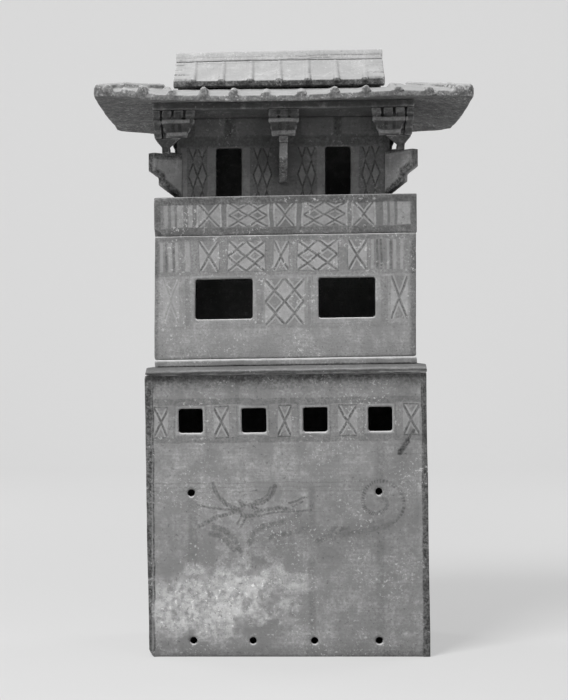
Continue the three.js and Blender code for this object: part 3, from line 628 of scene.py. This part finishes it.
# %% Middle storey paint
def middle_paint(paints, x, y, z):
    across, up = on_face(MIDDLE_FACE)
    foot, head = up(270.3), up(240.6)
    paints.band(MID, 0.5, foot - 7, head + 8, 3)
    panels = ((199.4, 218.8, 1), (227.6, 264.6, 2), (273.3, 288.9, 1), (297.7, 337.6, 2), (348.3, 366.8, 1))
    for left, right, count in panels:
        left, right = across(left), across(right)
        paints.crossed(left, right, foot, head, count, count, line=3.2, ink=0.66, fill=0.34, ground=0.32)
        paints.border(DARK, 0.25, left, right, foot, head, 1.6)
    pale_stripes = spans(across, (160, 163), (168, 171.5), (175, 178), (185, 190), (371, 374), (387, 389),
                         (393, 396), (400, 403))
    paints.bars(PALE, 0.26, pale_stripes, foot, head)
    dark_stripes = spans(across, (165, 167), (172.5, 174.5), (376.5, 378.5), (380.5, 382.5), (390, 392))
    paints.bars(DARK, 0.45, dark_stripes, foot, head)
    paints.crossed(across(265), across(304.4), up(324.5), up(278.5), 2, 2, 3.4, 0.6, 0.38, 0.3)
    paints.crossed(across(391), across(407.5), up(321), up(277), 1, 1, 3.2, 0.6, 0.46, 0.26)
    paints.crossed(across(163), across(179), up(321), up(277), 1, 1, 2.4, 0.12, 0.2, 0.2)
    for px, wide in ((224, 43.5), (347, 44)):
        paints.border(MID, 0.1, across(px) - wide, across(px) + wide, up(319), up(278.5), 7)
        paints.border(MID, 0.4, across(px) - wide - 7, across(px) + wide + 7, up(323), up(274), 1.5)
    posts = spans(across, (256.5, 263.3), (308, 311), (185, 189.5), (381, 388))
    paints.bars(MID, 0.45, posts, up(324), up(277))
    paints.band(MID, 0.3, up(328), up(324.5), 3)
    paints.band(DARK, 0.25, up(239.5), up(235), 3)
    for edge in spans(across, (150, 158.5), (410.5, 420)):
        paints.bars(DARK, 0.5, [edge], up(362), up(236), 6)
    paints.add(MID, z.ramp(up(330), up(358), 0.1, 0.3))


print("middle storey paint ready")

# %% [markdown]
# ## Paint of the parapet
#
# The parapet has one band of the same patterns on a darker ground, between dark borders, with pale
# stripes at its ends.

# %% Parapet paint
def parapet_paint(paints, x, y, z):
    across, up = on_face(PARAPET_FACE)
    foot, head = up(226), up(202.8)
    paints.band(DARK, 0.62, up(203.5), up(190), 2.5)
    paints.band(DARK, 0.5, up(242), up(226.5), 2.5)
    paints.band(MID, 0.6, foot, head, 2.5)
    for edge in spans(across, (150, 160.5), (411.5, 420)):
        paints.bars(DARK, 0.5, [edge], up(240), up(190), 4)
    panels = ((198.4, 219.8, 1), (228.6, 267.5, 2), (275.3, 294.8, 1), (303.5, 345.4, 2), (353.2, 373.6, 1))
    for left, right, count in panels:
        left, right = across(left), across(right)
        paints.crossed(left, right, foot, head, count, count, line=2.6, ink=0.56, fill=0.8, ground=0.26)
        paints.bars(PALE, 0.38, [(left - 3, left), (right, right + 3)], foot, head, 1.2)
    faint_stripes = spans(across, (163.6, 168), (171, 174.5), (389.5, 394))
    paints.bars(PALE, 0.24, faint_stripes, foot, head)
    clear_stripes = spans(across, (177, 183.5), (188, 192.4), (383, 387), (397, 410.4))
    paints.bars(PALE, 0.32, clear_stripes, foot, head)


print("parapet paint ready")

# %% [markdown]
# ## Paint of the room
#
# Beside each doorway stand a pale post and two columns of tall lozenges, drawn in outline. A frieze of pale
# panels runs under the eaves, divided by dark posts. Towards the eaves the wall carries a painted shadow.

# %% Room paint
def room_paint(paints, x, y, z):
    across, up = on_face(ROOM_FACE)
    centre, pitch, tall, wide = up(174.5), 44.5, 19.5, 6.8
    level = (z - centre).math("PINGPONG", pitch / 2) * (1 / tall)
    columns = within(z, up(200), up(147.5), 2)
    for px in (193, 202, 257.8, 267, 302.3, 311.2, 366, 375.2):
        lozenge = abs(x - across(px)) * (1 / wide) + level
        paints.add(DARK, abs(lozenge - 1).ramp(0.1, 0.28, 0.85, 0) * columns)
        paints.add(PALE, lozenge.ramp(0.6, 0.9, 0.12, 0) * columns)
    posts = spans(across, (207, 216), (242.5, 250), (317, 325), (350.5, 359), (181, 187))
    paints.bars(PALE, 0.14, posts, up(196), up(147))
    frieze = spans(across, (195, 224), (236, 271), (301, 333), (342, 371))
    paints.bars(PALE, 0.12, frieze, up(135), up(118))
    paints.bars(DARK, 0.8, spans(across, (225, 231.6), (334.2, 340.8)), up(137), up(116))
    paints.band(DARK, 0.5, up(146), up(136), 3)
    # Painted shadow of the eaves: the wall darkens towards its top.
    paints.add(DARK, z.ramp(up(176), up(125), 0, 0.42))


print("room paint ready")

# %% [markdown]
# ## Lines that run round the sides, and the roofs' upright faces
#
# On the sides and back, where the photograph shows nothing, the level lines of each storey's bands are
# carried round. The side slabs' front edges were brushed dark. On the roofs, the fascias and the undersides
# are painted darker than the slopes, as painted shade. The ridge roof's eaves carry painted shade as well,
# and a painted shadow lies on the main roof round the foot of the ridge roof.

# %% Side and roof finishes
def side_paint(paints, x, y, z):
    for foot, head, amount in ((331, 334, 0.3), (324, 327, 0.3), (380, 383, 0.35), (390, 393, 0.35),
                               (575, 582, 0.3), (626, 633, 0.3)):
        paints.band(MID, amount, foot, head, 2)
    paints.add(DARK, y.ramp(-110, -106, 0.42, 0))


def cornice_paint(paints, x, y, z):
    # A painted highlight along the lip at the slab's foot, painted shade at its top under the plinth, and a
    # pale streak and a dark band across its face.
    paints.add(PALE, z.ramp(425, 427.5, 0.5, 0) + within(z, 430, 432.5, 1.5, 0.2))
    paints.add(DARK, within(z, 427, 430, 1.5, 0.5) + z.ramp(434, 436, 0, 0.45))


def plinth_paint(paints, x, y, z):
    # Painted shade in the joint under the plinth, and a painted highlight along its upper edge.
    paints.add(DARK, z.ramp(437.5, 441, 0.8, 0))
    paints.add(PALE, z.ramp(444.5, 446.5, 0, 0.5))


across_bracket, up_bracket = on_face(BRACKET_FACE)
BRACKETS = ((160, 190, 166, 186), (267.5, 300, 271.5, 296), (373.5, 408, 378, 402))


def bracket_paint(paints, x, y, z):
    """Pale boards, and painted shade in the hollows between the bearing blocks of each bracket set."""
    for top_left, top_right, low_left, low_right in BRACKETS:
        upper = spans(across_bracket, (top_left, top_right))
        lower = spans(across_bracket, (low_left, low_right))
        paints.bars(PALE, 0.5, upper, up_bracket(121.5), up_bracket(118), 2)
        paints.bars(PALE, 0.42, lower, up_bracket(134), up_bracket(130.5), 2)
        # Painted shade in the gaps between the bearing blocks, in the upper and the lower row.
        for share in (0.33, 0.67):
            middle = upper[0][0] + (upper[0][1] - upper[0][0]) * share
            paints.bars(DARK, 0.8, [(middle - 2.5, middle + 2.5)], up_bracket(117.5), up_bracket(108), 2)
            middle = lower[0][0] + (lower[0][1] - lower[0][0]) * share
            paints.bars(DARK, 0.75, [(middle - 2.5, middle + 2.5)], up_bracket(130), up_bracket(122), 2)


across_arm, up_arm = on_face(ARM_FACE)


# The painted edge of the left and the right arm: along its top, down its nose and along its underside.
ARM_OUTLINES = [[(across_arm(px), up_arm(py)) for px, py in spots] for spots in (
    ((188, 151), (151, 152.5), (150.5, 165), (160, 171), (162, 178), (180, 195)),
    ((372, 149), (415, 147.5), (415.5, 163), (404, 171), (402, 180), (390, 192)))]


def arm_paint(paints, x, y, z):
    front = y.ramp(-60, -40, 1, 0)
    edge = strokes(x, z, ARM_OUTLINES, 7.5, 0.9)
    paints.add(DARK, edge * front + (1 - front) * 0.3)
    # Painted shade on the centre arm round its nose, which is left light.
    middle = abs(x - across_arm(284)).ramp(14, 18, 1, 0)
    paints.add(DARK, middle * abs(z - up_arm(149.5)).ramp(9, 13, 0.1, 0.7))


def upward(tree):
    """How far a surface faces up: 1 on a level top, 0 on a wall and -1 on an underside."""
    return Wire(tree, put(tree, "SeparateXYZ", put(tree, "NewGeometry", output=1), output=2))


def roof_paint(paints, x, y, z):
    facing = upward(z.tree)
    # Painted shade on the fascias and undersides, by how far each face turns from up.
    paints.add(MID, facing.ramp(0.3, 0.85, 1.0, 0))
    paints.add(DARK, facing.ramp(-0.9, -0.1, 0.18, 0) + facing.ramp(0.2, 0.6, 0.16, 0))
    # Painted shadow on the main roof round the foot of the ridge roof.
    ridge_roof_shadow = abs(x - ROOF_CENTRE_X).ramp(130, 160, 1, 0) * abs(y).ramp(100, 126, 0.8, 0)
    paints.add(DARK, ridge_roof_shadow * z.ramp(800, 830, 0, 1))


across_ridge, up_ridge = on_face(RIDGE_FACE)
VERGE_GROOVES = [[(across_ridge(176), up_ridge(py)), (across_ridge(182 + run), up_ridge(py - 0.3))]
                 for py, run in ((62, 1), (68.3, 0), (74.5, 3))]
RIDGE_CRACKS = [[(across_ridge(180), up_ridge(57.6)), (across_ridge(232), up_ridge(56.4))],
                [(across_ridge(232), up_ridge(56.4)), (across_ridge(330), up_ridge(54.6))],
                [(across_ridge(300), up_ridge(52.6)), (across_ridge(381), up_ridge(51.6))],
                [(across_ridge(196), up_ridge(60.2)), (across_ridge(262), up_ridge(59.0))],
                [(across_ridge(379), up_ridge(62)), (across_ridge(384), up_ridge(61.6))],
                [(across_ridge(379), up_ridge(70)), (across_ridge(384), up_ridge(69.4))]]


def ridge_paint(paints, x, y, z):
    facing = upward(z.tree)
    # Painted shade on the ridge roof's eaves and under them, by how far each face turns from up.
    low = z.ramp(884, 890, 1, 0)
    paints.add(MID, facing.ramp(0.3, 0.75, 1.0, 0) * low)
    paints.add(DARK, facing.ramp(0.1, 0.55, 0.85, 0) * low)
    # Painted shade in the grooves of the left verge tiles.
    paints.add(DARK, strokes(x, z, VERGE_GROOVES, 1.6, 0.6))
    paints.add(DARK, strokes(x, z, RIDGE_CRACKS, 1.0, 0.4))
    paints.add(MID, z.ramp(up_ridge(63.5), up_ridge(61.5), 0, 0.12))


FINISH = {
    "lower": earthenware("slip_washed_lower", "9e9e9e", "767676", "cacaca", 0.5, 0.7, lower_paint, lower_slip,
                         edge_wear=0.15),
    "middle": earthenware("slip_washed_middle", "a2a2a2", "7c7c7c", "d0d0d0", 0.5, 0.7, middle_paint,
                          edge_wear=0.15),
    "parapet": earthenware("slip_washed_parapet", "868686", "646464", "cccccc", 0.5, 0.3, parapet_paint,
                           edge_wear=0.25),
    "room": earthenware("slip_washed_room", "6e6e6e", "4c4c4c", "a0a0a0", 0.35, 0.2, room_paint),
    "sides": earthenware("slip_washed_sides", "909090", "686868", "c4c4c4", 0.45, 0.3, side_paint),
    "plain": earthenware("slip_washed_plain", "949494", "6c6c6c", "c4c4c4", 0.4, 0.6, plinth_paint,
                         edge_wear=0.3),
    "cornice": earthenware("scraped_top_slab", "686868", "444444", "acacac", 0.5, 0.1, cornice_paint,
                           edge_wear=0.1),
    "bare": earthenware("bare_earthenware", "6b6b6b", "555555", "8f8f8f", 0.25, 0.3),
    "arms": earthenware("painted_arm_clay", "a0a0a0", "7a7a7a", "c4c4c4", 0.4, 0.2, arm_paint,
                        edge_wear=0.05),
    # The brackets and the eave frame take a dark grey clay.
    "dark": earthenware("smoked_bracket_clay", "5c5c5c", "404040", "a0a0a0", 0.4, 0.35, bracket_paint,
                        edge_wear=0.8, painted_nook_shade=0.85),
    "roof": earthenware("pale_roof_slip", "b0b0b0", "909090", "cccccc", 0.6, 0.1, roof_paint),
    "ridge": earthenware("pale_ridge_slip", "b6b6b6", "949494", "d4d4d4", 0.5, 0.12, ridge_paint),
    # The ridge beam takes the ridge roof's slip painted lighter: painted light, because its upright faces
    # catch less of the lamps.
    "beam": earthenware("pale_beam_slip", "cacaca", "a6a6a6", "dcdcdc", 0.5, 0.12, ridge_paint),
}
print("finishes:", len(FINISH))

# %% [markdown]
# ## The roofs' own unevenness
#
# The rolls of tile at the eave are of uneven size on the real roof. On the right they hardly stand
# above the slab. Points above the slab's surface are pulled down or up by how tall the nearest roll is.
# The rolls on the hips run on inwards, the slab's ends are raised, its back edge sags, and beside the
# ridge roof its surface swells. The ridge roof has thick eaves, with a dark gap under them.

# %% Roof shaping
ROLL_X = [-240, -209, -162, -116, -70, -23, 23, 70, 116, 162, 209, 240]
ROLL_TALL = [1, 0.8, 0.75, 1.25, 1.05, 0.6, 0.65, 0.95, 0.9, 0.55, 0.55, 0.8]
ROLL_SHIFT = [0, 3, -2, -1, -4, -2, 4, 6, 5, 6, 5, 0]
END_X = [-276, -200, -178, -165, 150, 178, 230, 265]
END_LIFT = [5.2, 3.6, 0, 0, 0, 1.6, 1.8, 0]
SWELL_X = [-186, -179, -176, -172, 154, 159, 174, 184]
SWELL_LIFT = [0, 5.5, 5.5, 0, 0, 6, 3.5, 0]
SAG_X, SAG = [-278, -200, 0, 200, 278], [4, 6.4, 7, 7, 0.5]
HIP_REACH = 9


def shape_main_roof(points, normals):
    x, y, z = points.T
    deep_in = inset(x, y)
    surface = np.interp(deep_in, [0, 99.6], [833.2, 856.0]) + 3.5 * (x / ROOF_HALF_WIDTH) ** 2
    above = np.clip(z - surface, 0, None) * (np.abs(x) < 240)
    front = np.clip((-y - 60) / 40, 0, 1)
    gain = 1 + front * (np.interp(x, ROLL_X, ROLL_TALL) - 1)
    shift = front * np.interp(x, ROLL_X, ROLL_SHIFT) * np.clip(above / 2, 0, 1)
    from_hip = np.abs(ROOF_HALF_WIDTH - np.abs(x - ROOF_CENTRE_X) - ROOF_HALF_DEPTH + np.abs(y))
    reach = HIP_REACH * np.clip((deep_in - 50) / 45, 0, 1) * np.clip(above / 4, 0, 1)
    reach = reach * np.clip((16 - from_hip) / 6, 0, 1)
    top = np.clip((z - surface + 5) / 4, 0, 1)
    on_slope = np.maximum(np.clip(deep_in / 50, 0, 1), np.clip(above / 3, 0, 1))
    raised = np.interp(x, END_X, END_LIFT) * on_slope
    swell = np.interp(x, SWELL_X, SWELL_LIFT)
    raised += swell * np.clip((deep_in - 72) / 22, 0, 1) * np.clip(1 - above / 5, 0, 1)
    sag = np.interp(x, SAG_X, SAG) * np.clip((y - 140) / 45, 0, 1)
    ends = 4.5 * np.clip((x - 235) / 40, 0, 1) - 2.5 * np.clip((-235 - x) / 40, 0, 1)
    return np.stack([x + shift + ends - reach * np.sign(x), y - reach * np.sign(y),
                     z - above * (1 - gain) + 0.23 * reach + top * raised - sag], axis=1)


def shape_ridge_roof(points, normals):
    """Its eaves are thick and rise off the main roof, which leaves a dark gap under them."""
    x, y, z = points.T
    edge = np.clip((np.abs(y) - 52) / 20, 0, 1)
    return np.stack([x, y, z + edge * (2 + 1.5 * np.clip(normals[:, 2] * 2, 0, 1))], axis=1)


print("roof shaping ready")

# %% [markdown]
# ## Damage
#
# The lower storey's left corners are worn round at the foot and knocked off at the top. The parapet
# has lost its lower left corner. A gash runs across the upper right of the lower wall, and the lip of
# the top slab is ragged. These are shapes, so they are cut into the mesh.

# %% Damage
GASH_DEPTH = 1.4


def worn_lower_storey(points, normals):
    points = broken_off(points, (-203, -124, 0), (-1, -0.2, -0.6))
    points = broken_off(points, (-211, -120, 436), (-1, -1, 1))
    x, y, z = points.T
    (ax, az), (bx, bz) = GASH_TOP[0], GASH_FOOT[-1]
    along = np.array([bx - ax, bz - az])
    share = np.clip(((x - ax) * along[0] + (z - az) * along[1]) / (along @ along), 0, 1)
    away = np.hypot(x - ax - share * along[0], z - az - share * along[1])
    dent = np.clip(1 - away / (2 + 3 * share), 0, 1) * (y < -120) * GASH_DEPTH
    return np.stack([x, y + dent, z], axis=1)


def worn_parapet(points, normals):
    points = broken_off(points, (-187, -113, 639), (-0.6, -0.4, -0.75))
    return broken_off(points, (-199.5, -112, 652), (-1, -0.7, 0.1), 2.0)


def worn_top_slab(points, normals):
    """The lip of the lower storey's top slab is ragged along its foot."""
    x, y, z = points.T
    ragged = np.clip(1.3 * lattice_noise(points, 24, 31) + lattice_noise(points, 7, 32), -1, 1)
    lip = np.clip(1 - (z - 424) / 5, 0, 1) * np.clip((-y - 120) / 8, 0, 1)
    return np.stack([x, y - 0.8 * lip * ragged, z - 1.1 * lip * (ragged + 0.2)], axis=1)


print("damage ready")

# %% [markdown]
# ## Dressing every node
#
# Each row gives a piece: the nodes that it stands for, its finish, the width of its faces in mm, how
# often they are relaxed, its deepest chip in mm, the share of faces that is kept, and its own shaping.
# Brackets are small and need the finest faces. A wall's front is painted, its sides and back are not,
# so a storey's walls take two finishes.

# %% Soft pieces
def walls(storey):
    return [f"{storey}_{side}" for side in ("front_wall", "back_wall", "left_wall", "right_wall")]


PIECES = {
    "lower_walls": (walls("lower"), "lower", 2.0, 1, 1.6, 0.12, worn_lower_storey),
    "lower_floor": (["lower_floor"], "bare", 4.0, 1, 1.0, 0.1, None),
    "lower_cornice": (["lower_cornice"], "cornice", 2.0, 1, 1.6, 0.3, worn_top_slab),
    "middle_plinth": (["middle_plinth"], "plain", 2.0, 1, 1.2, 0.3, None),
    "middle_walls": (walls("middle"), "middle", 1.9, 1, 1.4, 0.14, None),
    "balcony_floor": (["balcony_floor"], "bare", 3.0, 1, 1.0, 0.1, None),
    "parapet": ([f"parapet_{side}" for side in ("front", "back", "left", "right")], "parapet", 1.8, 1, 2.4,
                0.2, worn_parapet),
    "room_walls": (walls("room"), "room", 1.9, 1, 1.0, 0.12, None),
    "eave_frame": (["eave_frame"], "dark", 2.2, 1, 2.4, 0.25, None),
    "main_roof": (["main_roof"], "roof", 2.0, 2, 2.0, 0.28, shape_main_roof),
    "ridge_roof": (["ridge_roof"], "ridge", 1.5, 2, 1.4, 0.3, shape_ridge_roof),
    "ridge_beam": (["ridge_beam"], "beam", 1.6, 1, 1.4, 0.3, None),
}
for name in frame["nodes"]:
    if name.startswith(("bracket", "centre", "corner_arm")):
        finish = "arms" if "arm" in name else "dark"
        back = "_back_" in name
        PIECES[name] = ([name], finish, 1.9 if back else 1.4, 1, 1.2, 0.3 if back else 0.4, None)

FRONT_DEPTH = {"lower": -110, "middle": -98, "parapet": -100, "room": -66}
faces = 0
for name, (nodes, finish, face, relax, chip, keep, extra) in PIECES.items():
    piece = soften(name, nodes, face, relax, chip, keep, extra)
    piece.data.materials.append(FINISH[finish])
    if finish in FRONT_DEPTH:
        piece.data.materials.append(FINISH["sides"])
        behind = [polygon.center.y / MM > FRONT_DEPTH[finish] for polygon in piece.data.polygons]
        piece.data.polygons.foreach_set("material_index", [int(b) for b in behind])
    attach(piece, BODY_OF[nodes[0]])
    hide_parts(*nodes)
    faces += len(piece.data.polygons)
print("soft pieces:", len(PIECES), "triangles:", faces)

# %% [markdown]
# ## Camera
#
# The photograph was taken from in front, level, with a long lens from about 2.75 m. The camera stands
# 6 mm left of the tower's middle.

# %% Camera
camera = bpy.data.objects.new("camera", bpy.data.cameras.new("camera"))
bpy.context.scene.collection.objects.link(camera)
camera.data.lens = 90
camera.data.sensor_width = 36
camera.location = (CAMERA_X * MM, CAMERA_Y * MM, CAMERA_Z * MM)
camera.rotation_euler = (math.radians(90), 0, 0)
bpy.context.scene.camera = camera
print("camera at", tuple(round(v, 4) for v in camera.location))

# %% [markdown]
# ## Floor and backdrop
#
# A photographer's paper sweep runs under the tower and curves up far behind it, so that no corner shows.
# It is pale and matt, and it keeps the tower's shadow. Rays that end in the camera see part of it glow,
# and more so far back, where the lamps reach it less. That leaves the light on the tower alone.

# %% Paper sweep
def straight_to_eye(tree):
    """1 on rays that end in the camera, also by a reflection or through glass, and 0 on others."""
    ray = put(tree, "LightPath").node
    seen = Wire(tree, ray.outputs["Is Camera Ray"]) + ray.outputs["Is Glossy Ray"]
    return (seen + ray.outputs["Is Transmission Ray"]).clamped()


paper = bpy.data.materials.new("matt_studio_paper")
paper.use_nodes = True
tree = paper.node_tree
tree.nodes.clear()
fibre = put(tree, "TexNoise", in_Vector=put(tree, "TexCoord", output=3), in_Scale=per_mm(3), in_Detail=3.0)
tooth = put(tree, "Bump", in_Height=fibre, in_Strength=0.15, in_Distance=0.2 * MM)
sheet = put(tree, "BsdfPrincipled", in_Base_Color=linear("d2d2d2"), in_Roughness=0.95, in_Normal=tooth)
away = Wire(tree, put(tree, "SeparateXYZ", put(tree, "TexCoord", output=3), output=1))
glow = put(tree, "Emission", in_Color=linear("ffffff"), in_Strength=away.ramp(0.3, 4.2, 0.70, 0.91))
shown = put(tree, "MixShader", straight_to_eye(tree) * 0.6, sheet, glow)
put(tree, "OutputMaterial", shown)

BEND, RISE_AT = 0.9, 4.0  # the radius of its bend, and where that begins, in metres
PAPER_FRONT, PAPER_TOP, PAPER_HALF_WIDTH = -4.8, 4.5, 6
profile = [(PAPER_FRONT, 0.0), (RISE_AT, 0.0)]
profile += [(RISE_AT + BEND * math.sin(a), BEND * (1 - math.cos(a)))
            for a in np.linspace(0.1, math.pi / 2, 14)]
profile += [(RISE_AT + BEND, PAPER_TOP)]
verts = [(x, y, z) for x in (-PAPER_HALF_WIDTH, PAPER_HALF_WIDTH) for y, z in profile]
count = len(profile)
mesh = bpy.data.meshes.new("sweep")
mesh.from_pydata(verts, [], [(i, i + 1, count + i + 1, count + i) for i in range(count - 1)])
mesh.polygons.foreach_set("use_smooth", [True] * len(mesh.polygons))
mesh.materials.append(paper)
sweep = bpy.data.objects.new("sweep", mesh)
bpy.context.scene.collection.objects.link(sweep)
print("sweep of", count - 1, "strips")

# %% [markdown]
# ## Lamps
#
# One large soft lamp stands high in front and to the left, like a skylight. It puts the wall under the
# eaves in shadow and leaves the slopes of the roofs brightest. A weak one fills from the right, and
# two more reach the sides and the back. The far wall of the studio looks pale but gives little light.

# %% Lamps and world
def lamp(name, place, aim, size, power):
    data = bpy.data.lights.new(name, "AREA")
    data.size, data.energy = size, power
    made = bpy.data.objects.new(name, data)
    made.location = place
    made.rotation_euler = (Vector(aim) - Vector(place)).to_track_quat("-Z", "Y").to_euler()
    bpy.context.scene.collection.objects.link(made)


lamp("skylight", (-1.3, -2.1, 3.2), (0, 0, 0.45), 1.3, 150)
lamp("fill", (2.3, -2.6, 1.5), (0, 0, 0.4), 1.6, 16)
lamp("right_wing", (2.6, 1.9, 1.5), (0, 0, 0.45), 1.6, 30)
lamp("left_wing", (-2.6, 1.9, 1.5), (0, 0, 0.45), 1.6, 30)
world = bpy.data.worlds.new("studio")
world.use_nodes = True
tree = world.node_tree
tree.nodes.clear()
room_light = put(tree, "Background", in_Color=linear("e8e8e8"), in_Strength=0.3)
far_wall = put(tree, "Background", in_Color=linear("dcdcdc"), in_Strength=1.0)
put(tree, "OutputWorld", put(tree, "MixShader", straight_to_eye(tree), room_light, far_wall))
bpy.context.scene.world = world
bpy.context.scene.view_settings.view_transform = "Standard"
print("lamps ready")
